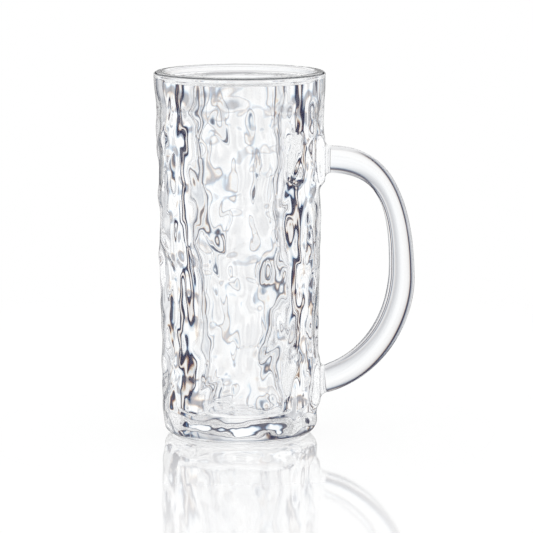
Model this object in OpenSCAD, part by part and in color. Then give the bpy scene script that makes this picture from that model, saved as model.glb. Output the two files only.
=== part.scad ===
// Tall pressed-glass beer mug: a dimpled, slightly tapered body with a thick wall and base, and a
// solid glass handle that is sealed hot onto two flat lands on the body's wall.
// Millimetres, +Z up. The origin is on the body's axis, on the surface that the mug stands on,
// and the handle points along +X.

/* [Body] */
// Height of the mug, from the surface that it stands on to the top of the lip
mug_height = 175; // [140:1:200]
// Outer diameter of the smooth band at the rim
rim_d = 82; // [70:0.5:96]
// Outer diameter of the wall just above the rounded foot
foot_d = 75.6; // [66:0.2:84]
// Thickness of the wall at the rim
rim_wall = 5.4; // [4.2:0.1:7]
// Depth of the wide mouth's upright side
mouth_h = 2.2; // [2.1:0.1:6]
// Slope of the shallow cone that leads from the mouth to the bore, in degrees
mouth_slope = 10; // [6:1:30]
// Radius of the fillet between the mouth's side and the cone
mouth_fillet_r = 0.8; // [0.5:0.1:2]
// Radius of the rounded edge between the cone and the bore
bore_edge_r = 1.8; // [1:0.1:4]
// Diameter of the bore under the cone
bore_top_d = 49; // [46:0.2:54]
// Diameter of the bore at its floor
bore_low_d = 42.4; // [36:0.2:46]
// Thickness of the base under the drink
base_thickness = 11; // [8:0.5:18]
// Radius of the rounded edge round the foot
foot_corner_r = 8; // [5:0.5:12]
// Radius of the fillet between the bore and its floor
floor_fillet_r = 3; // [2:0.5:8]
// Height of the smooth band under the lip
rim_band_h = 3; // [2.5:0.25:8]
// Radius of the lip's rounded edges
lip_r = 1.6; // [1:0.1:2]

/* [Foot ring] */
// Mean diameter of the flat ring that the mug stands on
foot_ring_d = 54; // [46:1:58]
// Width of that ring
foot_ring_w = 5; // [3:0.5:8]
// Height of the hollow under the base, inside the ring
underside_hollow = 0.8; // [0.4:0.1:1.6]

/* [Dimples] */
// Number of dimples in one row round the wall
dimples_around = 13; // [11:1:16]
// Number of rows of dimples
dimple_rows = 6; // [5:1:9]
// Depth of the deepest dimple below the ridges
dimple_depth = 1.7; // [0.6:0.1:2]
// How much of the ridge's height its rounding takes: less is sharper
ridge_rounding = 0.1; // [0.04:0.02:0.5]
// Depth of the broad waves under the dimples
wave_depth = 0.6; // [0:0.1:1.2]
// How far a ridge wanders round the wall from its even place, in degrees from side to side
wander_a = 14; // [0:1:20]
// How far a ridge wanders up and down
wander_z = 12; // [0:1:16]

/* [Handle] */
// Height of the middle of the handle's upper end
handle_top_z = 132.7; // [110:0.1:150]
// Height of the middle of the handle's lower end
handle_low_z = 25.6; // [22:0.1:40]
// Height at which the handle stands furthest out
handle_out_z = 78; // [70:1:95]
// Distance from the body's axis to the middle of the bar where it stands furthest out
handle_reach = 77.7; // [68:0.1:90]
// Thickness of the bar, seen from the side
bar_t = 13; // [9:0.1:15]
// Width of the bar, across the fingers
bar_w = 15; // [11:0.5:19]
// Slope of the handle's lower end where it runs into the body, in degrees
low_end_slope = 14; // [0:1:24]
// Radius of the flare where the hot end spreads over its land
seal_flare_r = 2.8; // [2:0.2:5]
// Height of the flat lands above the wall
land_proud = 0.5; // [0.3:0.1:1.2]

/* [Hidden] */

// Facets: columns of the wall for each dimple, rows of the wall for each row of dimples,
// sides and rings of the handle, and steps in a quarter turn of a rounded edge.
columns_per_dimple = 8;
rows_per_dimple = 8;
corner_rows = 6;
handle_sides = 28;
handle_rings = 26;
arc_steps = 6;
$fn = 96;

// One overrun serves every cut.
overrun = 1;

rim_r = rim_d / 2;
foot_r = foot_d / 2;
mouth_r = rim_r - rim_wall;
bore_top_r = bore_top_d / 2;
bore_low_r = bore_low_d / 2;
wall_columns = dimples_around * columns_per_dimple;

// The dimples fill the wall between the foot's rounded edge and the smooth band.
dimple_low_z = foot_corner_r;
dimple_high_z = mug_height - rim_band_h;
dimple_pitch = (dimple_high_z - dimple_low_z) / dimple_rows;

dimple_pitch_a = 360 / dimples_around;
dimple_half_w = PI * (rim_r + foot_r) / dimples_around / 2;

// How far a dimple's middle strays from its even place, as a share of the pitch.
stray_share = 0.8;
// Shallowest dimple, as a share of the deepest one.
shallow_share = 0.5;
// Half width of a bowl as deep as the deepest dimple, as a share of half the pitch.
bowl_share = 1.12;
// How soon the dimples, and the broad waves, fade out at the rim, as shares of one row.
rim_fade_share = 0.6;
wave_fade_share = 0.9;
// Where they start over the foot, and how soon they are full, as shares of its rounded edge.
foot_start_share = 0.125;
foot_fade_share = 0.75;
// Lumps round the wall and up it, for the wandering of the ridges and for the broad waves.
wander_around = 11;
wander_rows = 9;
waves_around = 9;
wave_rows = 6;
// How far the plain wall reaches round the handle's lands, as a share of half a dimple's width.
seat_fade_share = 0.8;
// Step between the smooth band and the ridges under it.
band_step = 0.25;

// Lengths of the handle curve's control arms, as shares of its rise and of its reach.
upper_reach_share = 0.5;
upper_rise_share = 0.9;
lower_rise_share = 0.4;
lower_reach_share = 0.7;
// The bar is drawn out thinner round its upper bend: by how much, and where, as shares of one half.
shoulder_thin_share = 0.19;
shoulder_at_share = 0.68;
shoulder_span_share = 0.5;
// Exponent of the bar's rounded section: 2 is an ellipse, more is squarer.
bar_squareness = 3.2;
// How far the handle's rings crowd together towards its two ends.
end_crowding_share = 0.8;

// Half sizes of a land, how far it goes into the wall, and its spread for each millimetre of that.
land_half_t = bar_t / 2 + seal_flare_r;
land_half_w = bar_w / 2 + seal_flare_r;
land_root = 6;
land_spread_share = 0.7;

function mix(a, b, t) = a + (b - a) * t;
function ease(t) = let (c = min(1, max(0, t))) c * c * (3 - 2 * c);
// A number from 0 to 1 that looks random and is the same for the same i, j and k.
function chance(i, j, k) = let (s = sin(i * 127.1 + j * 311.7 + k * 74.7) * 4375.85) s - floor(s);

// A smooth uneven number from 0 to 1 over the wall, with a given count of lumps round it and up it.
function cloud(a, z, around, rows, k) =
    let (
        u = a / 360 * around,
        v = z / mug_height * rows,
        i = floor(u),
        j = floor(v),
        next = (i + 1) % around,
        s = ease(u - i)
    )
    mix(
        mix(chance(i, j, k), chance(next, j, k), s),
        mix(chance(i, j + 1, k), chance(next, j + 1, k), s),
        ease(v - j)
    );

// Outer radius over the ridges at height z.
function wall_r(z) = mix(foot_r, rim_r, (z - foot_corner_r) / (dimple_high_z - foot_corner_r));
// How far the foot's rounded edge draws the wall in at height z.
function corner_inset(z) = let (d = max(0, foot_corner_r - z)) foot_corner_r - sqrt(foot_corner_r ^ 2 - d ^ 2);

// Every second row of dimples is moved along by half a dimple.
function row_shift(j) = j % 2 == 0 ? 0 : 1 / 2;

// Middle of dimple i in row j, as an angle in degrees and a height.
function dimple_angle(i, j) =
    dimple_pitch_a * (i + row_shift(j) + stray_share * (chance(i, j, 1) - 1 / 2));
function dimple_z(i, j) =
    dimple_low_z + dimple_pitch * (j + 1 / 2 + stray_share * (chance(i, j, 2) - 1 / 2));

// The arc from angle b to angle a, in millimetres along the wall.
function along_wall(a, b) =
    let (d = a - b) (d - 360 * round(d / 360)) * PI / 180 * (rim_r + foot_r) / 2;

// Height of dimple i's bowl, in row j, over the deepest floor at angle a and height z.
function bowl(a, z, i, j) =
    let (
        x = along_wall(a, dimple_angle(i, j)) / (bowl_share * dimple_half_w),
        y = (z - dimple_z(i, j)) / (bowl_share * dimple_pitch / 2)
    )
    dimple_depth * ((1 - shallow_share) * chance(i, j, 3) + x ^ 2 + y ^ 2);

// The bowls near a point: three rows of four.
function bowls_near(a, z) =
    let (row = floor((z - dimple_low_z) / dimple_pitch))
    [
        for (j = [row - 1 : row + 1])
            let (column = floor(a / dimple_pitch_a - row_shift(j)))
            for (c = [column - 1 : column + 2])
                bowl(a, z, (c + dimples_around) % dimples_around, j)
    ];

// 0 on the plain wall round the handle's lands, 1 away from them.
function seat_fade(a, z) =
    let (
        x = abs(along_wall(a, 0)) / land_half_w,
        y = min(abs(z - handle_top_z), abs(z - handle_low_z)) / land_half_t,
        reach = (x ^ bar_squareness + y ^ bar_squareness) ^ (1 / bar_squareness)
    )
    ease((reach - 1) / (seat_fade_share * dimple_half_w / land_half_w));

// Depth of the wall's relief at angle a and height z. The lowest bowl makes the dimple, and a smooth
// minimum rounds the ridges where bowls meet each other or the plain wall. The ridges wander, and
// broad waves run under them.
function relief(a, z) =
    let (
        wide = (a + 360 + wander_a * (cloud(a, z, wander_around, wander_rows, 5) - 1 / 2)) % 360,
        tall = z + wander_z * (cloud(a, z, wander_around, wander_rows, 6) - 1 / 2),
        soft = ridge_rounding * dimple_depth,
        bowls = concat([dimple_depth], bowls_near(wide, tall)),
        rise = -soft * ln([for (b = bowls) exp(-b / soft)] * [for (b = bowls) 1]),
        wave = wave_depth * cloud(a, z, waves_around, wave_rows, 8)
             * ease((dimple_high_z - z) / (wave_fade_share * dimple_pitch)),
        fade = ease((dimple_high_z - z) / (rim_fade_share * dimple_pitch))
             * ease((z / foot_corner_r - foot_start_share) / foot_fade_share)
    )
    fade * seat_fade(a, z) * (wave + max(0, dimple_depth - rise));

// Heights of the rings of points on the wall: close together round the foot's edge, then even.
wall_heights = concat(
    [for (k = [0 : corner_rows - 1])
        underside_hollow + (foot_corner_r - underside_hollow) * (1 - cos(90 * k / corner_rows))],
    [for (k = [0 : dimple_rows * rows_per_dimple])
        mix(dimple_low_z, dimple_high_z + lip_r, k / (dimple_rows * rows_per_dimple))]
);

// A closed solid through rings of points. Seen with the rings coming nearer, each runs anticlockwise.
module loft(rings) {
    sides = len(rings[0]);
    walls = [
        for (k = [0 : len(rings) - 2])
            for (c = [0 : sides - 1])
                let (
                    p = k * sides + c,
                    q = k * sides + (c + 1) % sides
                )
                each [[p, p + sides, q], [q, p + sides, q + sides]]
    ];
    first = [for (c = [0 : sides - 1]) c];
    last = [for (c = [sides - 1 : -1 : 0]) (len(rings) - 1) * sides + c];
    polyhedron([for (ring = rings) each ring], concat([first, last], walls));
}

// The outside of the body, from the underside to inside the smooth band.
module dimpled_wall() {
    loft([
        for (z = wall_heights)
            [
                for (c = [0 : wall_columns - 1])
                    let (
                        a = 360 * c / wall_columns,
                        r = wall_r(z) - band_step - corner_inset(z) - relief(a, z)
                    )
                    [r * cos(a), r * sin(a), z]
            ]
    ]);
}

// Smooth band at the rim, with the outer half of the rounded lip.
module rim_band() {
    translate([0, 0, mug_height - rim_band_h]) rotate_extrude() {
        square([rim_r, rim_band_h - lip_r]);
        square([rim_r - lip_r, rim_band_h]);
        translate([rim_r - lip_r, rim_band_h - lip_r]) circle(lip_r, $fn = 4 * arc_steps);
    }
}

// Ring that the mug stands on.
module foot_ring() {
    rotate_extrude() translate([(foot_ring_d - foot_ring_w) / 2, 0])
        square([foot_ring_w, underside_hollow + overrun]);
}

// Points of an arc in the half section of the body, from angle a to angle b.
function arc(middle, r, a, b) =
    [for (k = [0 : arc_steps]) let (turn = mix(a, b, k / arc_steps)) middle + r * [cos(turn), sin(turn)]];

// Inside of the mug: a tapered bore with a fillet at its floor, and a shallow cone out to a wide mouth.
module cavity() {
    mouth_arc = arc([mouth_r - mouth_fillet_r, mug_height - mouth_h], mouth_fillet_r, mouth_slope - 90, 0);
    cone_low_r = bore_top_r + bore_edge_r * (1 - sin(mouth_slope));
    cone_low_z = mouth_arc[0][1] - (mouth_arc[0][0] - cone_low_r) * tan(mouth_slope);
    edge_z = cone_low_z - bore_edge_r * cos(mouth_slope);
    taper = atan2(bore_top_r - bore_low_r, edge_z - base_thickness);
    fillet_x = bore_low_r + floor_fillet_r * tan(taper) - floor_fillet_r / cos(taper);
    rotate_extrude() polygon(concat(
        [[0, base_thickness]],
        arc([fillet_x, base_thickness + floor_fillet_r], floor_fillet_r, -90, -taper),
        arc([bore_top_r + bore_edge_r, edge_z], bore_edge_r, 180 - taper, 90 + mouth_slope),
        mouth_arc,
        arc([mouth_r + lip_r, mug_height - lip_r], lip_r, 180, 90),
        [[rim_r - lip_r, mug_height + overrun], [0, mug_height + overrun]]
    ));
}

// Point k of a rounded section with the half sizes t and w, as [across the thickness, across the width].
function section_point(k, t, w) =
    let (a = 360 * k / handle_sides, c = cos(a), s = sin(a), p = 2 / bar_squareness)
    [t * sign(c) * pow(abs(c), p), w * sign(s) * pow(abs(s), p)];

// How far the flare widens the bar at distance d from its land.
function flare(d) = let (e = max(0, seal_flare_r - d)) seal_flare_r - sqrt(seal_flare_r ^ 2 - e ^ 2);

function land_x(z) = wall_r(z) + land_proud;

// Flat land that one end of the handle is sealed to. It widens into the wall.
module land(z) {
    loft([
        for (depth = [0, land_proud + land_root])
            let (spread = land_spread_share * depth)
            [
                for (k = [0 : handle_sides - 1])
                    let (q = section_point(k, land_half_t + spread, land_half_w + spread))
                    [land_x(z) - depth, q[1], z + q[0]]
            ]
    ]);
}

module glass_body() {
    color([0.86, 0.92, 0.94, 0.35]) difference() {
        union() {
            dimpled_wall();
            rim_band();
            foot_ring();
            land(handle_top_z);
            land(handle_low_z);
        }
        cavity();
    }
}

// A cubic curve with the end points a and d and the control points b and c, and its direction.
function curve(a, b, c, d, t) =
    a * (1 - t) ^ 3 + 3 * b * t * (1 - t) ^ 2 + 3 * c * t ^ 2 * (1 - t) + d * t ^ 3;
function curve_way(a, b, c, d, t) =
    (b - a) * (1 - t) ^ 2 + 2 * (c - b) * t * (1 - t) + (d - c) * t ^ 2;

// Thickness of the bar along its length, which runs from 0 to 1 in the upper half and on to 2.
function drawn_t(along) =
    bar_t * (1 - shoulder_thin_share * ease(1 - abs(along - shoulder_at_share) / shoulder_span_share));

module glass_handle() {
    top = [land_x(handle_top_z), handle_top_z];
    out = [handle_reach, handle_out_z];
    low = [land_x(handle_low_z), handle_low_z];
    upper = [
        top,
        top + [upper_reach_share * (out[0] - top[0]), 0],
        out + [0, upper_rise_share * (top[1] - out[1])],
        out
    ];
    lower = [
        out,
        out - [0, lower_rise_share * (out[1] - low[1])],
        low + lower_reach_share * (out[0] - low[0]) * [cos(low_end_slope), sin(low_end_slope)],
        low
    ];
    // Rings lie closer together at the two flared ends.
    shares = [for (k = [0 : handle_rings]) let (t = k / handle_rings) mix(t, 1 - cos(90 * t), end_crowding_share)];
    // Middle, direction and thickness of each section, from the upper end to the lower one.
    stations = concat(
        [for (t = shares) [curve(upper[0], upper[1], upper[2], upper[3], t),
                           curve_way(upper[0], upper[1], upper[2], upper[3], t), drawn_t(t)]],
        [for (k = [handle_rings - 1 : -1 : 0])
            let (t = 1 - shares[k])
            [curve(lower[0], lower[1], lower[2], lower[3], t),
             curve_way(lower[0], lower[1], lower[2], lower[3], t), drawn_t(1 + t)]]
    );
    color([0.9, 0.94, 0.96, 0.35]) loft([
        for (s = stations)
            let (
                place = s[0],
                to_land = min(norm(place - top), norm(place - low)),
                // Near its land a section stands upright, so that the end is flat against it.
                upright = ease(1 - to_land / land_half_t),
                across = [-s[1][1], s[1][0]] / norm(s[1]),
                lean = mix(across, [0, sign(across[1])], upright),
                side = lean / norm(lean)
            )
            [
                for (k = [0 : handle_sides - 1])
                    let (q = section_point(k, s[2] / 2 + flare(to_land), bar_w / 2 + flare(to_land)))
                    [place[0] + side[0] * q[0], -q[1], place[1] + side[1] * q[0]]
            ]
    ]);
}

glass_body();
glass_handle();
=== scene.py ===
"""Looks of a tall clear glass beer mug: a dimpled pressed body and a solid handle sealed to its side."""

import math

import bpy
import numpy as np
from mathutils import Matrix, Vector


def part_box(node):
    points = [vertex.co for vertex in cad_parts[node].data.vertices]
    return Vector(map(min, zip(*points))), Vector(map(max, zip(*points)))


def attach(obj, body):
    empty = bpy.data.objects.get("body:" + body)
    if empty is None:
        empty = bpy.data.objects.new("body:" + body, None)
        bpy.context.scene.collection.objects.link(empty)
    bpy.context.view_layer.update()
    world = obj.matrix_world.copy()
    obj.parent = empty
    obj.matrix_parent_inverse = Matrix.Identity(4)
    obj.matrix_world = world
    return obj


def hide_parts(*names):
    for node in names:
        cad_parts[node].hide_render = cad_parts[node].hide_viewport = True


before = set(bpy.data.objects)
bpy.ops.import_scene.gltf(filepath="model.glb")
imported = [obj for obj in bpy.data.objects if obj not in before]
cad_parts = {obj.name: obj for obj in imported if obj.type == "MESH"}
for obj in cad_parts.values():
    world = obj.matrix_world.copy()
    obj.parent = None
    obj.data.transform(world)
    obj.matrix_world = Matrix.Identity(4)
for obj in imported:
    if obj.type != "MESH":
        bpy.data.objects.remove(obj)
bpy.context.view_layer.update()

# Driving sizes of the mug, in metres. They are those of the solids, apart from the slope of the mouth and
# the edge of the bore, which were set by the light on the rim.
BODY_LOW, BODY_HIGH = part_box("glass_body")
MUG_HEIGHT = BODY_HIGH.z
RIM_R = -BODY_LOW.x
FOOT_R = 0.0378
RIM_WALL = 0.0054
MOUTH_H = 0.0022
MOUTH_SLOPE = math.radians(7.5)
MOUTH_FILLET_R = 0.0008
BORE_EDGE_R = 0.0008
BORE_TOP_R = 0.0245
BORE_LOW_R = 0.0212
LIP_R = 0.0016
BASE_THICKNESS = 0.011
FOOT_CORNER_R = 0.008
FLOOR_FILLET_R = 0.003
RIM_BAND_H = 0.003
FOOT_RING_R = 0.027
FOOT_RING_W = 0.005
UNDERSIDE_HOLLOW = 0.0008
FOOT_RING_EDGE_R = 0.0004

# Dimples of the wall
DIMPLES_AROUND = 13
DIMPLE_ROWS = 6
DIMPLE_DEPTH = 0.0017
RIDGE_ROUNDING = 0.1
STRAY_SHARE = 0.8
SHALLOW_SHARE = 0.5
BOWL_SHARE = 1.12
RIM_FADE_SHARE = 0.6
FOOT_FADE_Z = 0.001
FOOT_FADE_H = 0.006
SEAT_FADE_SHARE = 0.8

# Wandering of the ridges, and the waves, ripples and folds over them.
# Ripples and folds are lists of waves, each with its counts round and up the wall.
WANDER_AROUND = 11
WANDER_ROWS = 9
WANDER_A = 14
WANDER_Z = 0.012
WAVE_DEPTH = 0.0006
WAVE_FADE_SHARE = 0.9
WAVES_AROUND = 9
WAVE_ROWS = 6
RIPPLE_DEPTH = 0.00012
RIPPLES = ((17, 3), (23, -5), (29, 4), (37, -7), (43, 6))
FOLD_DEPTH = 0.0004
FOLDS = ((6, 11), (9, -14), (4, 17))

# Handle
HANDLE_TOP_Z = 0.1327
HANDLE_LOW_Z = 0.0256
HANDLE_OUT_Z = 0.078
HANDLE_REACH = 0.07766
BAR_T = 0.013
BAR_W = 0.015
BAR_SQUARENESS = 3.2
INNER_SQUARENESS = 2.5
LOW_END_SLOPE = math.radians(14)
SEAL_FLARE_R = 0.0028
LAND_PROUD = 0.0005
UPPER_REACH_SHARE = 0.5
UPPER_RISE_SHARE = 0.9
LOWER_RISE_SHARE = 0.4
LOWER_REACH_SHARE = 0.7
SHOULDER_THIN_SHARE = 0.19
SHOULDER_AT = 0.68
SHOULDER_SPAN = 0.5
SEAL_GAP = 0.00002
MATT_FROM = 0.55
MATT_FADE = 0.3
LAND_MARGIN = 1.03
LAND_BLEND_W = 0.004
LEAST_COS = 0.5

# Chance numbers, and which of them each feature of the wall draws
CHANCE_TURNS = (127.1, 311.7, 74.7)
CHANCE_SPREAD = 4375.85
STRAY_A_DRAW = 1
STRAY_Z_DRAW = 2
DEPTH_DRAW = 3
WANDER_A_DRAW = 5
WANDER_Z_DRAW = 6
WAVE_DRAW = 8
RIPPLE_DRAW = 9

# Fineness of the meshes
WALL_COLUMNS = 300
WALL_ROWS = 205
BORE_ROWS = 18
FLOOR_ROWS = 8
UNDERSIDE_ROWS = 6
CONE_ROWS = 6
SHORT_ROWS = 2
RING_EDGE_STEPS = 4
FOOT_CORNER_STEPS = 14
LIP_STEPS = 12
MOUTH_FILLET_STEPS = 8
BORE_EDGE_STEPS = 10
FLOOR_FILLET_STEPS = 12
HANDLE_SIDES = 64
HANDLE_RINGS = 150
END_CROWD_SHARE = 0.8
SMOOTH_ANGLE = math.radians(60)
MERGE_GAP = 1e-6
LEAST_R = 1e-9

# Photograph: the camera's place, its downward pitch and its field of view
IMAGE_SIDE_PX = 533
CAMERA_PLACE = (0.0128, -1.58, 0.313)
CAMERA_PITCH = math.radians(8.36)
FOCAL_PX = 3325
SENSOR_W = 36

MOUTH_R = RIM_R - RIM_WALL
DIMPLE_LOW_Z = FOOT_CORNER_R
DIMPLE_HIGH_Z = MUG_HEIGHT - RIM_BAND_H
DIMPLE_PITCH = (DIMPLE_HIGH_Z - DIMPLE_LOW_Z) / DIMPLE_ROWS
DIMPLE_PITCH_A = 360 / DIMPLES_AROUND
MEAN_R = (RIM_R + FOOT_R) / 2
DIMPLE_HALF_W = math.pi * MEAN_R / DIMPLES_AROUND
LAND_HALF_T = BAR_T / 2 + SEAL_FLARE_R
LAND_HALF_W = BAR_W / 2 + SEAL_FLARE_R


def mix(a, b, t):
    return a + (b - a) * t


def ease(t):
    c = np.clip(t, 0, 1)
    return c * c * (3 - 2 * c)


def chance(i, j, k):
    """A number from 0 to 1 that looks random and is the same for the same i, j and k."""
    turns = i * CHANCE_TURNS[0] + j * CHANCE_TURNS[1] + k * CHANCE_TURNS[2]
    s = np.sin(np.radians(turns)) * CHANCE_SPREAD
    return s - np.floor(s)


def cloud(a, z, around, rows, k):
    """A smooth uneven number from 0 to 1 over the wall, with a given count of lumps round it and up it."""
    u = a / 360 * around
    v = z / MUG_HEIGHT * rows
    i, j = np.floor(u), np.floor(v)
    s, t = ease(u - i), ease(v - j)
    low = mix(chance(i % around, j, k), chance((i + 1) % around, j, k), s)
    high = mix(chance(i % around, j + 1, k), chance((i + 1) % around, j + 1, k), s)
    return mix(low, high, t)


def wall_r(z):
    """Outer radius over the ridges at height z."""
    return mix(FOOT_R, RIM_R, (z - FOOT_CORNER_R) / (DIMPLE_HIGH_Z - FOOT_CORNER_R))


def land_x(z):
    return wall_r(z) + LAND_PROUD


def along_wall(a, b):
    """The arc from angle b to angle a, in metres along the wall."""
    d = a - b
    return np.radians(d - 360 * np.round(d / 360)) * MEAN_R


def bowl(a, z, i, j):
    """Height of dimple i's bowl, in row j, over the deepest floor at angle a and height z."""
    shift = np.where(j % 2 == 0, 0, 0.5)
    middle_a = DIMPLE_PITCH_A * (i + shift + STRAY_SHARE * (chance(i, j, STRAY_A_DRAW) - 0.5))
    middle_z = DIMPLE_LOW_Z + DIMPLE_PITCH * (j + 0.5 + STRAY_SHARE * (chance(i, j, STRAY_Z_DRAW) - 0.5))
    x = along_wall(a, middle_a) / (BOWL_SHARE * DIMPLE_HALF_W)
    y = (z - middle_z) / (BOWL_SHARE * DIMPLE_PITCH / 2)
    return DIMPLE_DEPTH * ((1 - SHALLOW_SHARE) * chance(i, j, DEPTH_DRAW) + x**2 + y**2)


def land_reach(y, z, seat_z):
    """How far a point lies from the middle of a land, where 1 is the land's edge."""
    across = abs(y) / LAND_HALF_W
    up = abs(z - seat_z) / LAND_HALF_T
    return (across**BAR_SQUARENESS + up**BAR_SQUARENESS) ** (1 / BAR_SQUARENESS)


def seat_reach(a, z):
    """How far a point lies from the nearer land, where 1 is the land's edge."""
    y = along_wall(a, 0)
    return np.minimum(land_reach(y, z, HANDLE_TOP_Z), land_reach(y, z, HANDLE_LOW_Z))


def ripples(a, z, waves):
    """Ripples over the wall, from 0 to 1: waves, as counts round and up the wall, that cross each other."""
    height = np.zeros_like(a)
    for k, (around, up) in enumerate(waves):
        start = chance(k, 0, RIPPLE_DRAW)
        height += np.sin(np.radians(around * a) + 2 * math.pi * (up * z / MUG_HEIGHT + start))
    return 0.5 + height / (2 * len(waves))


def relief(a, z):
    """Depth of the wall's dimples at angle a in degrees and height z."""
    soft = RIDGE_ROUNDING * DIMPLE_DEPTH
    wide = (a + WANDER_A * (cloud(a, z, WANDER_AROUND, WANDER_ROWS, WANDER_A_DRAW) - 0.5)) % 360
    tall = z + WANDER_Z * (cloud(a, z, WANDER_AROUND, WANDER_ROWS, WANDER_Z_DRAW) - 0.5)
    row = np.floor((tall - DIMPLE_LOW_Z) / DIMPLE_PITCH)
    bowls = np.exp(-DIMPLE_DEPTH / soft) * np.ones_like(a)
    for up in (-1, 0, 1):
        j = row + up
        column = np.floor(wide / DIMPLE_PITCH_A - np.where(j % 2 == 0, 0, 0.5))
        for along in (-1, 0, 1, 2):
            bowls += np.exp(-bowl(wide, tall, (column + along) % DIMPLES_AROUND, j) / soft)
    depth = np.maximum(0, DIMPLE_DEPTH + soft * np.log(bowls))
    depth = depth + RIPPLE_DEPTH * ripples(a, z, RIPPLES) + FOLD_DEPTH * ripples(a, z, FOLDS)
    wave_fade = ease((DIMPLE_HIGH_Z - z) / (WAVE_FADE_SHARE * DIMPLE_PITCH))
    depth = depth + wave_fade * WAVE_DEPTH * cloud(a, z, WAVES_AROUND, WAVE_ROWS, WAVE_DRAW)
    rim_fade = ease((DIMPLE_HIGH_Z - z) / (RIM_FADE_SHARE * DIMPLE_PITCH))
    foot_fade = ease((z - FOOT_FADE_Z) / FOOT_FADE_H)
    seat_fade = ease((seat_reach(a, z) - 1) / (SEAT_FADE_SHARE * DIMPLE_HALF_W / LAND_HALF_W))
    return rim_fade * foot_fade * seat_fade * depth


def arc(middle, radius, start, end, steps):
    """Points of an arc in the profile's plane, as (distance from the axis, height)."""
    turns = np.radians(np.linspace(start, end, steps + 1))
    return [(middle[0] + radius * math.cos(t), middle[1] + radius * math.sin(t)) for t in turns]


def straight(start, end, steps):
    """Points after start on a straight line, up to end."""
    shares = [k / steps for k in range(1, steps + 1)]
    return [(mix(start[0], end[0], t), mix(start[1], end[1], t)) for t in shares]


def body_profile():
    """Half section of the body from the middle of its underside, round the lip, to its inner floor."""
    ring_in = FOOT_RING_R - FOOT_RING_W / 2
    ring_out = FOOT_RING_R + FOOT_RING_W / 2
    edge = FOOT_RING_EDGE_R
    points = [(0, UNDERSIDE_HOLLOW)]
    points += straight(points[-1], (ring_in - 2 * edge, UNDERSIDE_HOLLOW), UNDERSIDE_ROWS)
    points += straight(points[-1], (ring_in, edge), SHORT_ROWS)
    points += arc((ring_in + edge, edge), edge, 180, 270, RING_EDGE_STEPS)[1:]
    points += straight(points[-1], (ring_out - edge, 0), SHORT_ROWS)
    points += arc((ring_out - edge, edge), edge, 270, 360, RING_EDGE_STEPS)[1:]
    points += straight(points[-1], (ring_out + 2 * edge, UNDERSIDE_HOLLOW), SHORT_ROWS)
    corner_low = math.asin((FOOT_CORNER_R - UNDERSIDE_HOLLOW) / FOOT_CORNER_R)
    foot_middle = (FOOT_R - FOOT_CORNER_R, FOOT_CORNER_R)
    corner = arc(foot_middle, FOOT_CORNER_R, -math.degrees(corner_low), 0, FOOT_CORNER_STEPS)
    points += straight(points[-1], corner[0], SHORT_ROWS)
    points += corner[1:]
    points += straight(points[-1], (RIM_R, DIMPLE_HIGH_Z), WALL_ROWS)
    points += straight(points[-1], (RIM_R, MUG_HEIGHT - LIP_R), SHORT_ROWS)
    points += arc((RIM_R - LIP_R, MUG_HEIGHT - LIP_R), LIP_R, 0, 90, LIP_STEPS)[1:]
    inner_lip = (MOUTH_R + LIP_R, MUG_HEIGHT - LIP_R)
    points += arc(inner_lip, LIP_R, 90, 180, LIP_STEPS)
    # A shallow cone leads from the wide mouth to the bore.
    lean = math.degrees(MOUTH_SLOPE)
    mouth_middle = (MOUTH_R - MOUTH_FILLET_R, MUG_HEIGHT - MOUTH_H)
    points += arc(mouth_middle, MOUTH_FILLET_R, 0, lean - 90, MOUTH_FILLET_STEPS)
    cone_end_r = BORE_TOP_R + BORE_EDGE_R * (1 - math.sin(MOUTH_SLOPE))
    cone_end_z = points[-1][1] - (points[-1][0] - cone_end_r) * math.tan(MOUTH_SLOPE)
    edge_middle = (BORE_TOP_R + BORE_EDGE_R, cone_end_z - BORE_EDGE_R * math.cos(MOUTH_SLOPE))
    points += straight(points[-1], (cone_end_r, cone_end_z), CONE_ROWS)
    slope = math.atan2(BORE_TOP_R - BORE_LOW_R, edge_middle[1] - BASE_THICKNESS)
    bore_lean = math.degrees(slope)
    points += arc(edge_middle, BORE_EDGE_R, 90 + lean, 180 - bore_lean, BORE_EDGE_STEPS)[1:]
    fillet_x = BORE_LOW_R + FLOOR_FILLET_R * math.tan(slope) - FLOOR_FILLET_R / math.cos(slope)
    fillet_middle = (fillet_x, BASE_THICKNESS + FLOOR_FILLET_R)
    fillet = arc(fillet_middle, FLOOR_FILLET_R, -bore_lean, -90, FLOOR_FILLET_STEPS)
    points += straight(points[-1], fillet[0], BORE_ROWS)
    points += fillet[1:]
    points += straight(points[-1], (0, BASE_THICKNESS), FLOOR_ROWS)
    return points


def fresh_start():
    """Object mode with nothing selected."""
    if bpy.context.object and bpy.context.object.mode != "OBJECT":
        bpy.ops.object.mode_set(mode="OBJECT")
    bpy.ops.object.select_all(action="DESELECT")


def places(piece):
    co = np.empty(len(piece.data.vertices) * 3)
    piece.data.vertices.foreach_get("co", co)
    return co.reshape(-1, 3)


def set_places(piece, co):
    piece.data.vertices.foreach_set("co", co.ravel())
    piece.data.update()


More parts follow.
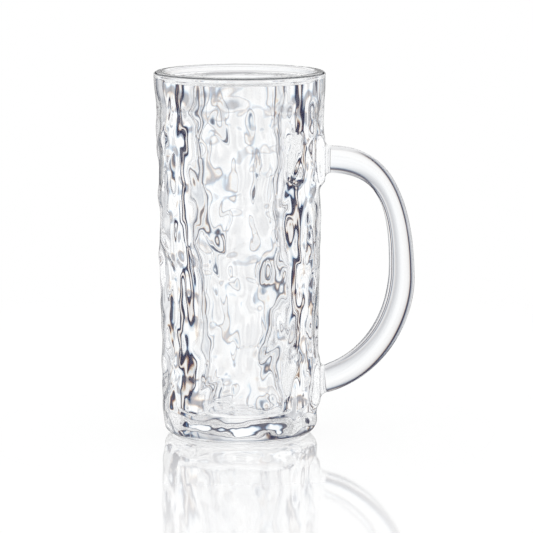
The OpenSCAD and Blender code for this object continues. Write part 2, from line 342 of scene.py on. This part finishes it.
def press_dimples(co):
    """Move the points of the outer wall in by the relief, and out onto the handle's flat lands."""
    r = np.hypot(co[:, 0], co[:, 1])
    a = np.degrees(np.arctan2(co[:, 1], co[:, 0])) % 360
    z = co[:, 2]
    outer = (r > (BORE_TOP_R + wall_r(z)) / 2) & (z > UNDERSIDE_HOLLOW) & (z < DIMPLE_HIGH_Z)
    new_r = r - np.where(outer, relief(a, z), 0)
    handle_side = outer & (np.cos(np.radians(a)) > LEAST_COS)
    for seat_z in (HANDLE_TOP_Z, HANDLE_LOW_Z):
        past = (land_reach(along_wall(a, 0), z, seat_z) - LAND_MARGIN) * LAND_HALF_W
        on_land = np.where(handle_side, 1 - ease(past / LAND_BLEND_W), 0)
        flat_r = land_x(seat_z) / np.maximum(LEAST_COS, np.cos(np.radians(a)))
        new_r = mix(new_r, flat_r, on_land)
    share = np.where(r > 0, new_r / np.maximum(r, LEAST_R), 1)
    co[:, 0] *= share
    co[:, 1] *= share
    return co


def make_body():
    """Lathe the body's half section round the axis and press the dimples into its wall."""
    fresh_start()
    profile = body_profile()
    bpy.ops.mesh.primitive_plane_add(size=RIM_R, location=(0, 0, 0))
    body = bpy.context.object
    body.name = "dimpled_glass_body"
    bpy.ops.object.mode_set(mode="EDIT")
    bpy.ops.mesh.merge(type="CENTER")
    bpy.ops.transform.translate(value=(0, 0, profile[0][1]))
    for start, end in zip(profile, profile[1:]):
        step = (end[0] - start[0], 0, end[1] - start[1])
        bpy.ops.mesh.extrude_vertices_move(TRANSFORM_OT_translate={"value": step})
    bpy.ops.mesh.select_all(action="SELECT")
    bpy.ops.mesh.spin(steps=WALL_COLUMNS, angle=2 * math.pi, center=(0, 0, 0), axis=(0, 0, 1))
    bpy.ops.mesh.select_all(action="SELECT")
    bpy.ops.mesh.remove_doubles(threshold=MERGE_GAP)
    bpy.ops.mesh.normals_make_consistent(inside=False)
    bpy.ops.object.mode_set(mode="OBJECT")
    set_places(body, press_dimples(places(body)))
    bpy.ops.object.shade_smooth()
    return body


def curve(points, t):
    a, b, c, d = (np.array(p)[:, None] for p in points)
    return a * (1 - t) ** 3 + 3 * b * t * (1 - t) ** 2 + 3 * c * t**2 * (1 - t) + d * t**3


def curve_way(points, t):
    a, b, c, d = (np.array(p)[:, None] for p in points)
    return (b - a) * (1 - t) ** 2 + 2 * (c - b) * t * (1 - t) + (d - c) * t**2


def handle_arms():
    """Control points of the upper and the lower half of the handle's middle line, as (x, z)."""
    top = np.array((land_x(HANDLE_TOP_Z), HANDLE_TOP_Z))
    out = np.array((HANDLE_REACH, HANDLE_OUT_Z))
    low = np.array((land_x(HANDLE_LOW_Z), HANDLE_LOW_Z))
    slope = np.array((math.cos(LOW_END_SLOPE), math.sin(LOW_END_SLOPE)))
    upper = (
        top,
        top + (UPPER_REACH_SHARE * (out[0] - top[0]), 0),
        out + (0, UPPER_RISE_SHARE * (top[1] - out[1])),
        out,
    )
    lower = (
        out,
        out - (0, LOWER_RISE_SHARE * (out[1] - low[1])),
        low + LOWER_REACH_SHARE * (out[0] - low[0]) * slope,
        low,
    )
    return upper, lower


def bend_bar(co):
    """Bend a straight bar along X, of unit length and unit section, round the handle's middle line."""
    upper, lower = handle_arms()
    t = np.clip(co[:, 0], 0, 1)
    # Rings crowd together at the two flared ends.
    half = np.where(t < 0.5, 2 * t, 2 - 2 * t)
    crowd = mix(half, 1 - np.cos(math.pi / 2 * half), END_CROWD_SHARE)
    first = t <= 0.5
    u = np.where(first, crowd, 1 - crowd)
    place = np.where(first, curve(upper, u), curve(lower, u))
    way = np.where(first, curve_way(upper, u), curve_way(lower, u))
    from_top = np.hypot(*(place - np.array(upper[0])[:, None]))
    from_low = np.hypot(*(place - np.array(lower[3])[:, None]))
    ends = np.minimum(from_top, from_low)
    upright = ease(1 - ends / LAND_HALF_T)
    across = np.array((-way[1], way[0])) / np.hypot(*way)
    lean = np.array((across[0] * (1 - upright), mix(across[1], np.sign(across[1]), upright)))
    side = lean / np.hypot(*lean)
    gap = np.maximum(0, SEAL_FLARE_R - ends)
    flare = SEAL_FLARE_R - np.sqrt(SEAL_FLARE_R**2 - gap**2)
    # The bar was drawn out thinner round its upper bend.
    off_shoulder = abs(np.where(first, u, 1 + u) - SHOULDER_AT) / SHOULDER_SPAN
    drawn = 1 - SHOULDER_THIN_SHARE * ease(1 - off_shoulder)
    turn = np.arctan2(co[:, 1], co[:, 2])
    power = 2 / np.where(np.cos(turn) > 0, BAR_SQUARENESS, INNER_SQUARENESS)
    thick = np.sign(np.cos(turn)) * abs(np.cos(turn)) ** power * (drawn * BAR_T / 2 + flare)
    wide = np.sign(np.sin(turn)) * abs(np.sin(turn)) ** power * (BAR_W / 2 + flare)
    return np.column_stack((place[0] + side[0] * thick + SEAL_GAP, wide, place[1] + side[1] * thick))


def make_handle():
    """Draw a round bar straight, ring by ring, then bend it into the handle."""
    fresh_start()
    step = 1 / HANDLE_RINGS
    bpy.ops.mesh.primitive_circle_add(
        vertices=HANDLE_SIDES, radius=1, fill_type="NGON", location=(0, 0, 0), rotation=(0, math.pi / 2, 0)
    )
    handle = bpy.context.object
    handle.name = "sealed_glass_handle"
    bpy.ops.object.transform_apply(location=True, rotation=True, scale=True)
    bpy.ops.object.mode_set(mode="EDIT")
    bpy.ops.mesh.select_all(action="SELECT")
    for _ in range(HANDLE_RINGS):
        bpy.ops.mesh.extrude_region_move(TRANSFORM_OT_translate={"value": (step, 0, 0)})
    bpy.ops.mesh.select_all(action="SELECT")
    bpy.ops.object.mode_set(mode="OBJECT")
    straight_bar = places(handle)
    turn = np.arctan2(straight_bar[:, 1], straight_bar[:, 2])
    matt_edge = handle.data.attributes.new("matt_edge", "FLOAT", "POINT")
    matt_edge.data.foreach_set("value", ease((np.cos(turn) - MATT_FROM) / MATT_FADE))
    set_places(handle, bend_bar(straight_bar))
    bpy.ops.object.mode_set(mode="EDIT")
    bpy.ops.mesh.select_all(action="SELECT")
    bpy.ops.mesh.normals_make_consistent(inside=False)
    bpy.ops.object.mode_set(mode="OBJECT")
    bpy.ops.object.shade_smooth_by_angle(angle=SMOOTH_ANGLE)
    return handle


def feed(tree, socket, value):
    """Link an input from another node's output, or set it to a plain value."""
    if isinstance(value, bpy.types.NodeSocket):
        tree.links.new(value, socket)
    else:
        socket.default_value = value


def add_node(tree, kind, **inputs):
    """A new node. Its inputs are given by name, with _ for a space."""
    node = tree.nodes.new(kind)
    for name, value in inputs.items():
        feed(tree, node.inputs[name.replace("_", " ")], value)
    return node


def math_node(tree, operation, *values):
    node = tree.nodes.new("ShaderNodeMath")
    node.operation = operation
    for socket, value in zip(node.inputs, values):
        feed(tree, socket, value)
    return node.outputs[0]


def smooth_step(tree, value, low, high):
    node = add_node(tree, "ShaderNodeMapRange", Value=value, From_Min=low, From_Max=high)
    node.interpolation_type = "SMOOTHSTEP"
    return node.outputs["Result"]


def mix_light(tree, share, first, second):
    """A mix of two colours, each given as a socket or as a plain colour."""
    node = tree.nodes.new("ShaderNodeMix")
    node.data_type = "RGBA"
    feed(tree, node.inputs["Factor"], share)
    color_inputs = [socket for socket in node.inputs if socket.type == "RGBA"]
    for socket, value in zip(color_inputs, (first, second)):
        feed(tree, socket, value)
    return next(socket for socket in node.outputs if socket.type == "RGBA")


# Finish of the glass
WHITE = (1, 1, 1, 1)
GLASS_TINT = (0.985, 0.99, 0.995, 1)
GLASS_INDEX = 1.5
SEAM_INDEX = 1.0
GRAIN_SCALE = 150
GRAIN_STRETCH = 0.5
GRAIN_DETAIL = 1.0
GRAIN_DEPTH = 0.00015
FOOT_GRAIN_SHARE = 5.0
FOOT_GRAIN_Z = 0.006
FOOT_GRAIN_FADE_Z = 0.013
SKIN_R = 0.0357
RING_SCALE = 31
RING_SWAY = 3.0
RING_SWAY_SCALE = 2.0
RING_SWAY_DETAIL = 1.0
RING_DEPTH = 0.0004
# Painted shade: the colour of a thin dark ring painted on the lip's outer edge, then its width and its
# height.
LIP_PAINTED_SHADE = (0.02, 0.022, 0.026, 1)
LIP_PAINTED_SHADE_W = 0.0014
LIP_PAINTED_SHADE_H = 0.0013
SPECK_SCALE = 1300
SPECK_DETAIL = 2.0
SPECK_FROM = 0.4
SPECK_TO = 0.65
SPECK_DEPTH = 0.00004
MATT_ROUGHNESS = 0.25
SEAM_FACING_SHARE = 0.99


def clear_glass(name):
    """Colourless glass, ready for its surface detail: its material, node tree and shader."""
    material = bpy.data.materials.new(name)
    material.use_nodes = True
    shader = material.node_tree.nodes["Principled BSDF"]
    shader.inputs["Base Color"].default_value = GLASS_TINT
    shader.inputs["Roughness"].default_value = 0.0
    shader.inputs["IOR"].default_value = GLASS_INDEX
    shader.inputs["Transmission Weight"].default_value = 1.0
    return material, material.node_tree, shader


def pressed_glass():
    """Glass of the body: a faint grain on its outer skin, stronger at the foot, rings on its floor, and a
    ring of painted shade on its lip.
    """
    material, tree, shader = clear_glass("pressed_clear_glass")
    place = add_node(tree, "ShaderNodeTexCoord").outputs["Object"]
    xyz = add_node(tree, "ShaderNodeSeparateXYZ", Vector=place).outputs
    x_squared = math_node(tree, "POWER", xyz["X"], 2)
    y_squared = math_node(tree, "POWER", xyz["Y"], 2)
    reach = math_node(tree, "SQRT", math_node(tree, "ADD", x_squared, y_squared))

    drawn = add_node(tree, "ShaderNodeMapping", Vector=place, Scale=(1, 1, GRAIN_STRETCH)).outputs["Vector"]
    grain = add_node(tree, "ShaderNodeTexNoise", Vector=drawn, Scale=GRAIN_SCALE, Detail=GRAIN_DETAIL)
    off_foot = smooth_step(tree, xyz["Z"], FOOT_GRAIN_Z, FOOT_GRAIN_FADE_Z)
    near_foot = math_node(tree, "SUBTRACT", 1.0, off_foot)
    grain_depth = math_node(tree, "MULTIPLY_ADD", near_foot, FOOT_GRAIN_SHARE * GRAIN_DEPTH, GRAIN_DEPTH)
    grain_height = math_node(tree, "MULTIPLY", grain.outputs["Fac"], grain_depth)
    outside = math_node(tree, "GREATER_THAN", reach, SKIN_R)
    skin = math_node(tree, "MULTIPLY", grain_height, outside)

    rings = add_node(
        tree,
        "ShaderNodeTexWave",
        Vector=place,
        Scale=RING_SCALE,
        Distortion=RING_SWAY,
        Detail=RING_SWAY_DETAIL,
        Detail_Scale=RING_SWAY_SCALE,
    )
    rings.wave_type = "RINGS"
    rings.rings_direction = "Z"
    low = math_node(tree, "LESS_THAN", xyz["Z"], BASE_THICKNESS + FLOOR_FILLET_R)
    high = math_node(tree, "GREATER_THAN", xyz["Z"], BASE_THICKNESS / 2)
    inside = math_node(tree, "LESS_THAN", reach, BORE_LOW_R)
    on_floor = math_node(tree, "MULTIPLY", math_node(tree, "MULTIPLY", low, high), inside)
    ring_share = math_node(tree, "MULTIPLY", rings.outputs["Fac"], on_floor)
    ring_height = math_node(tree, "MULTIPLY", ring_share, RING_DEPTH)

    # A thin dark ring of painted shade on the lip's outer edge stands for the light that is lost in the
    # wall there.
    painted_shade_high = smooth_step(tree, xyz["Z"], MUG_HEIGHT - LIP_PAINTED_SHADE_H, MUG_HEIGHT - LIP_PAINTED_SHADE_H / 2)
    painted_shade_out = smooth_step(tree, reach, RIM_R - LIP_PAINTED_SHADE_W, RIM_R - LIP_PAINTED_SHADE_W / 2)
    painted_lip_shade = math_node(tree, "MULTIPLY", painted_shade_high, painted_shade_out)
    feed(tree, shader.inputs["Base Color"], mix_light(tree, painted_lip_shade, GLASS_TINT, LIP_PAINTED_SHADE))

    height = math_node(tree, "ADD", skin, ring_height)
    bump = add_node(tree, "ShaderNodeBump", Strength=1.0, Distance=1.0, Height=height)
    feed(tree, shader.inputs["Normal"], bump.outputs["Normal"])
    return material


def handle_glass():
    """Glass of the handle: clear, with the matt speckled mark of the mould along its outer edge."""
    material, tree, shader = clear_glass("handle_clear_glass")
    place = add_node(tree, "ShaderNodeTexCoord").outputs["Object"]
    attribute = tree.nodes.new("ShaderNodeAttribute")
    attribute.attribute_name = "matt_edge"
    edge = attribute.outputs["Fac"]
    noise = add_node(tree, "ShaderNodeTexNoise", Vector=place, Scale=SPECK_SCALE, Detail=SPECK_DETAIL)
    speck = noise.outputs["Fac"]
    matt = math_node(tree, "MULTIPLY", edge, smooth_step(tree, speck, SPECK_FROM, SPECK_TO))
    height = math_node(tree, "MULTIPLY", math_node(tree, "MULTIPLY", speck, edge), SPECK_DEPTH)
    bump = add_node(tree, "ShaderNodeBump", Strength=1.0, Distance=1.0, Height=height)
    feed(tree, shader.inputs["Normal"], bump.outputs["Normal"])
    feed(tree, shader.inputs["Roughness"], math_node(tree, "MULTIPLY", matt, MATT_ROUGHNESS))
    return material


def seam_glass():
    """Glass inside a hot seal, where two pieces have run together and light passes straight on."""
    material, _, shader = clear_glass("run_together_glass")
    shader.inputs["Base Color"].default_value = WHITE
    shader.inputs["IOR"].default_value = SEAM_INDEX
    return material


def mark_seals(piece):
    """Give the faces where body and handle have run together to the second material."""
    for face in piece.data.polygons:
        x, y, z = face.center
        for seat_z in (HANDLE_TOP_Z, HANDLE_LOW_Z):
            on_plane = abs(x - land_x(seat_z)) < 2 * SEAL_GAP and abs(face.normal.x) > SEAM_FACING_SHARE
            if on_plane and land_reach(y, z, seat_z) < 1:
                face.material_index = 1


def dress(piece, material, seam, node):
    piece.data.materials.clear()
    piece.data.materials.append(material)
    piece.data.materials.append(seam)
    mark_seals(piece)
    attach(piece, "root")
    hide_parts(node)


# Studio that the glass shows: (angle in degrees, light) pairs, round the table and up from it.
# Light that comes through the bore, light that is turned back inside the wall, and light that only
# passes solid glass each have their own part of the studio. The stops repeat all round it, and those
# that begin at 0 run to and fro.
BORE_ROUND = (
    (0, 0.93), (2.5, 0.96), (5, 1.06), (7.5, 1.09), (9.3, 1.03), (10.2, 0.6), (11, 0.6),
    (12, 1.02), (14.5, 0.95), (16, 0.3), (17.5, 0.08), (18.5, 0.3), (19.3, 0.95), (21, 0.9),
    (22.5, 0.7),
)
BORE_UP = (
    (-90, 1.0), (-40, 1.0), (-33, 0.8), (-27, 0.98), (-24, 1.0), (-22, 0.45), (-20.5, 0.45),
    (-19, 0.98), (-17, 1.02), (-16, 0.75), (-15, 0.75), (-14, 1.02), (-10.5, 0.97), (-7, 0.97),
    (-3.5, 1.03), (-2.5, 0.75), (-1.5, 0.75), (-0.5, 1.02), (3, 0.95), (5, 0.6), (7, 0.6),
    (9, 0.95), (20, 0.8), (30, 0.95), (38, 0.95), (41, 0.4), (46, 0.4), (49, 1.0), (90, 0.9),
)
SIDE_ROUND = (
    (0, 1.15), (8, 1.12), (10, 0.85), (15, 0.88), (17, 1.12), (27, 1.08), (31, 0.75),
    (33, 0.03), (40, 0.03), (42, 0.75), (45, 0.95),
)
SIDE_UP = (
    (-90, 1.0), (-40, 1.0), (-30, 0.8), (-24, 1.0), (-20, 1.0), (-18, 0.45), (-15, 0.45),
    (-13, 1.0), (-4, 1.0), (-2, 0.5), (3, 0.5), (5, 1.0), (11, 0.98), (17, 0.9), (20, 0.12),
    (32, 0.12), (36, 0.95), (48, 0.95), (52, 0.12), (64, 0.12), (68, 0.95), (90, 0.9),
)
EDGE_ROUND = (
    (-45, 1.0), (-39, 0.75), (-24, 0.5), (-21, 0.1), (-17, 0.02), (-15.5, 0.12), (-13.5, 0.65),
    (-10.5, 0.85), (-5.5, 0.98), (0, 1.02), (3, 0.97), (7, 0.85), (12, 0.7), (16, 0.6),
    (20, 0.8), (24, 0.76), (26.5, 0.2), (28.5, 0.25), (30.5, 0.8), (33, 0.8), (35, 0.08),
    (39, 0.08), (41, 1.0), (45, 1.0),
)
EDGE_UP = (
    (-90, 0.8), (-67, 0.6), (-55, 0.8), (-35, 0.8), (-30, 0.97), (-8, 1.0), (4, 0.98),
    (9, 0.88), (12, 0.6), (15, 0.14), (20, 0.16), (24, 0.75), (90, 0.85),
)
FLAGS_ROUND = (
    (0, 1.0), (4, 1.0), (6, 0.05), (39, 0.05), (41, 1.0), (45, 1.0),
)
DEEP_UP = (
    (-90, 0.0), (-65, 0.05), (-50, 0.8), (-35, 1.12), (40, 1.14), (46, 0.3), (58, 0.3),
    (64, 1.1), (90, 0.9),
)
STEEP_FROM = math.radians(35)
STEEP_TO = math.radians(55)
BORE_FRINGE = math.radians(0.15)
SIDE_FRINGE = math.radians(0.3)
STRIP_UP = math.radians(8.5)
STRIP_HALF_H = math.radians(5.5)
STRIP_LIGHT = (0.02, 0.02, 0.02, 1)
DARK_BLUE = 0.045
BORE_PASSES = 3.5
NONE_YET = 0.5
MORE_THAN_ONE = 1.5
DEEP_FROM = 1.5
DEEP_TO = 6.0


def light_ramp(tree, value, stops):
    """Light read off a list of stops, for an angle in radians."""
    ramp = tree.nodes.new("ShaderNodeValToRGB")
    low, high = stops[0][0], stops[-1][0]
    elements = ramp.color_ramp.elements
    while len(elements) < len(stops):
        elements.new(1.0)
    for element, (angle, light) in zip(elements, stops):
        element.position = (angle - low) / (high - low)
        element.color = (light, light, light, 1)
    least, most = math.radians(low), math.radians(high)
    share = add_node(tree, "ShaderNodeMapRange", Value=value, From_Min=least, From_Max=most)
    feed(tree, ramp.inputs["Fac"], share.outputs["Result"])
    return ramp.outputs["Color"]


def studio_light(tree, azimuth, up, stops_round, stops_up, fringe):
    """One part of the studio. The edges of its stripes are split into colours."""
    first, last = math.radians(stops_round[0][0]), math.radians(stops_round[-1][0])
    if first == 0:
        turn = math_node(tree, "PINGPONG", azimuth, last)
    else:
        turn = math_node(tree, "WRAP", azimuth, last, first)
    steep = smooth_step(tree, math_node(tree, "ABSOLUTE", up), STEEP_FROM, STEEP_TO)
    channels = []
    for shift in (fringe, 0, -fringe):
        stripe = light_ramp(tree, math_node(tree, "ADD", turn, shift), stops_round)
        evened = add_node(tree, "ShaderNodeMapRange", Value=steep, To_Min=stripe, To_Max=1.0)
        level_up = light_ramp(tree, math_node(tree, "ADD", up, shift), stops_up)
        channels.append(math_node(tree, "MULTIPLY", evened.outputs["Result"], level_up))
    channels[2] = math_node(tree, "MULTIPLY_ADD", channels[2], 1 - DARK_BLUE, DARK_BLUE)
    light = add_node(tree, "ShaderNodeCombineColor", Red=channels[0], Green=channels[1], Blue=channels[2])
    return light.outputs["Color"]


def make_world():
    """White studio. Its light depends on how often a ray has passed the glass or been turned back in it."""
    world = bpy.data.worlds.new("white_studio")
    bpy.context.scene.world = world
    world.use_nodes = True
    tree = world.node_tree
    tree.nodes.clear()
    way = add_node(tree, "ShaderNodeTexCoord").outputs["Generated"]
    xyz = add_node(tree, "ShaderNodeSeparateXYZ", Vector=way).outputs
    azimuth = math_node(tree, "ARCTAN2", xyz["X"], xyz["Y"])
    up = math_node(tree, "ARCSINE", xyz["Z"])
    path = add_node(tree, "ShaderNodeLightPath").outputs
    by_bore = math_node(tree, "GREATER_THAN", path["Transmission Depth"], BORE_PASSES)
    turned_back = math_node(tree, "GREATER_THAN", path["Glossy Depth"], NONE_YET)
    deep = smooth_step(tree, path["Glossy Depth"], DEEP_FROM, DEEP_TO)

    bore = studio_light(tree, azimuth, up, BORE_ROUND, BORE_UP, BORE_FRINGE)
    edge = studio_light(tree, azimuth, up, EDGE_ROUND, EDGE_UP, SIDE_FRINGE)
    side = studio_light(tree, azimuth, up, SIDE_ROUND, SIDE_UP, SIDE_FRINGE)
    clear = mix_light(tree, by_bore, edge, bore)
    beside = mix_light(tree, deep, side, light_ramp(tree, up, DEEP_UP))
    lost = math_node(tree, "GREATER_THAN", path["Glossy Depth"], MORE_THAN_ONE)
    behind = mix_light(tree, lost, bore, WHITE)
    within = mix_light(tree, turned_back, clear, mix_light(tree, by_bore, beside, behind))

    below = math_node(tree, "LESS_THAN", up, 0)
    mirrored = math_node(tree, "MULTIPLY", below, path["Is Glossy Ray"])
    flags_turn = math_node(tree, "PINGPONG", azimuth, math.radians(FLAGS_ROUND[-1][0]))
    flags = mix_light(tree, mirrored, WHITE, light_ramp(tree, flags_turn, FLAGS_ROUND))
    # A dark strip lies just above the table's edge. Only sharp reflections show it, most of all on the lip.
    strip = math_node(tree, "COMPARE", up, STRIP_UP, STRIP_HALF_H)
    sharp = math_node(tree, "MULTIPLY", path["Is Glossy Ray"], path["Is Singular Ray"])
    skimmed = math_node(tree, "MULTIPLY", sharp, strip)
    outer = mix_light(tree, skimmed, flags, STRIP_LIGHT)

    through = math_node(tree, "GREATER_THAN", path["Transmission Depth"], NONE_YET)
    light = mix_light(tree, through, outer, within)
    background = add_node(tree, "ShaderNodeBackground", Color=light, Strength=1.0)
    output = tree.nodes.new("ShaderNodeOutputWorld")
    feed(tree, output.inputs["Surface"], background.outputs["Background"])


# White table that the mug stands on
FLOOR_R = 0.45
FLOOR_FADE_R = 0.24
FLOOR_SIDES = 96
FLOOR_GLOW = 0.8
FLOOR_GREY = (0.22, 0.22, 0.22, 1)
FLOOR_ROUGHNESS = 0.05
MIRROR_SHARE = 0.56
MIRROR_FAR_SHARE = 0.06
MIRROR_FADE_R = 0.30


def mix_shaders(tree, share, first, second):
    node = tree.nodes.new("ShaderNodeMixShader")
    for socket, value in zip(node.inputs, (share, first, second)):
        feed(tree, socket, value)
    return node.outputs["Shader"]


def table_top():
    """White and softly mirroring near the mug, and fading into the white studio further off."""
    material = bpy.data.materials.new("white_table_top")
    material.use_nodes = True
    tree = material.node_tree
    tree.nodes.clear()
    place = add_node(tree, "ShaderNodeTexCoord").outputs["Object"]
    length = tree.nodes.new("ShaderNodeVectorMath")
    length.operation = "LENGTH"
    feed(tree, length.inputs[0], place)
    reach = length.outputs["Value"]
    glow = add_node(tree, "ShaderNodeEmission", Color=WHITE, Strength=FLOOR_GLOW)
    matt = add_node(tree, "ShaderNodeBsdfDiffuse", Color=FLOOR_GREY)
    lit = tree.nodes.new("ShaderNodeAddShader")
    feed(tree, lit.inputs[0], glow.outputs["Emission"])
    feed(tree, lit.inputs[1], matt.outputs["BSDF"])
    gloss = add_node(tree, "ShaderNodeBsdfGlossy", Color=WHITE, Roughness=FLOOR_ROUGHNESS)
    share = add_node(
        tree,
        "ShaderNodeMapRange",
        Value=reach,
        From_Min=FOOT_R,
        From_Max=MIRROR_FADE_R,
        To_Min=MIRROR_SHARE,
        To_Max=MIRROR_FAR_SHARE,
    )
    top = mix_shaders(tree, share.outputs["Result"], lit.outputs["Shader"], gloss.outputs["BSDF"])
    fade = smooth_step(tree, reach, FLOOR_FADE_R, FLOOR_R)
    path = add_node(tree, "ShaderNodeLightPath").outputs
    through = math_node(tree, "GREATER_THAN", path["Transmission Depth"], NONE_YET)
    seen_in_glass = math_node(tree, "MAXIMUM", through, path["Is Glossy Ray"])
    gone = math_node(tree, "MAXIMUM", fade, seen_in_glass)
    clear = tree.nodes.new("ShaderNodeBsdfTransparent")
    output = tree.nodes.new("ShaderNodeOutputMaterial")
    feed(tree, output.inputs["Surface"], mix_shaders(tree, gone, top, clear.outputs["BSDF"]))
    return material


def make_floor():
    fresh_start()
    bpy.ops.mesh.primitive_circle_add(
        vertices=FLOOR_SIDES, radius=FLOOR_R, fill_type="NGON", location=(0, 0, 0)
    )
    floor = bpy.context.object
    floor.name = "white_table"
    floor.data.materials.append(table_top())


def make_camera():
    data = bpy.data.cameras.new("photo_camera")
    data.sensor_width = SENSOR_W
    data.sensor_fit = "HORIZONTAL"
    data.lens = FOCAL_PX * data.sensor_width / IMAGE_SIDE_PX
    camera = bpy.data.objects.new("photo_camera", data)
    camera.location = CAMERA_PLACE
    camera.rotation_euler = (math.pi / 2 - CAMERA_PITCH, 0, 0)
    bpy.context.scene.collection.objects.link(camera)
    bpy.context.scene.camera = camera


# Light is turned to and fro many times in a thick dimpled wall.
MAX_BOUNCES = 96
GLASS_BOUNCES = 64

bpy.context.scene.view_settings.view_transform = "Standard"
bpy.context.scene.cycles.max_bounces = MAX_BOUNCES
bpy.context.scene.cycles.glossy_bounces = GLASS_BOUNCES
bpy.context.scene.cycles.transmission_bounces = GLASS_BOUNCES
make_camera()
make_world()
make_floor()
seam = seam_glass()
dress(make_body(), pressed_glass(), seam, "glass_body")
dress(make_handle(), handle_glass(), seam, "glass_handle")
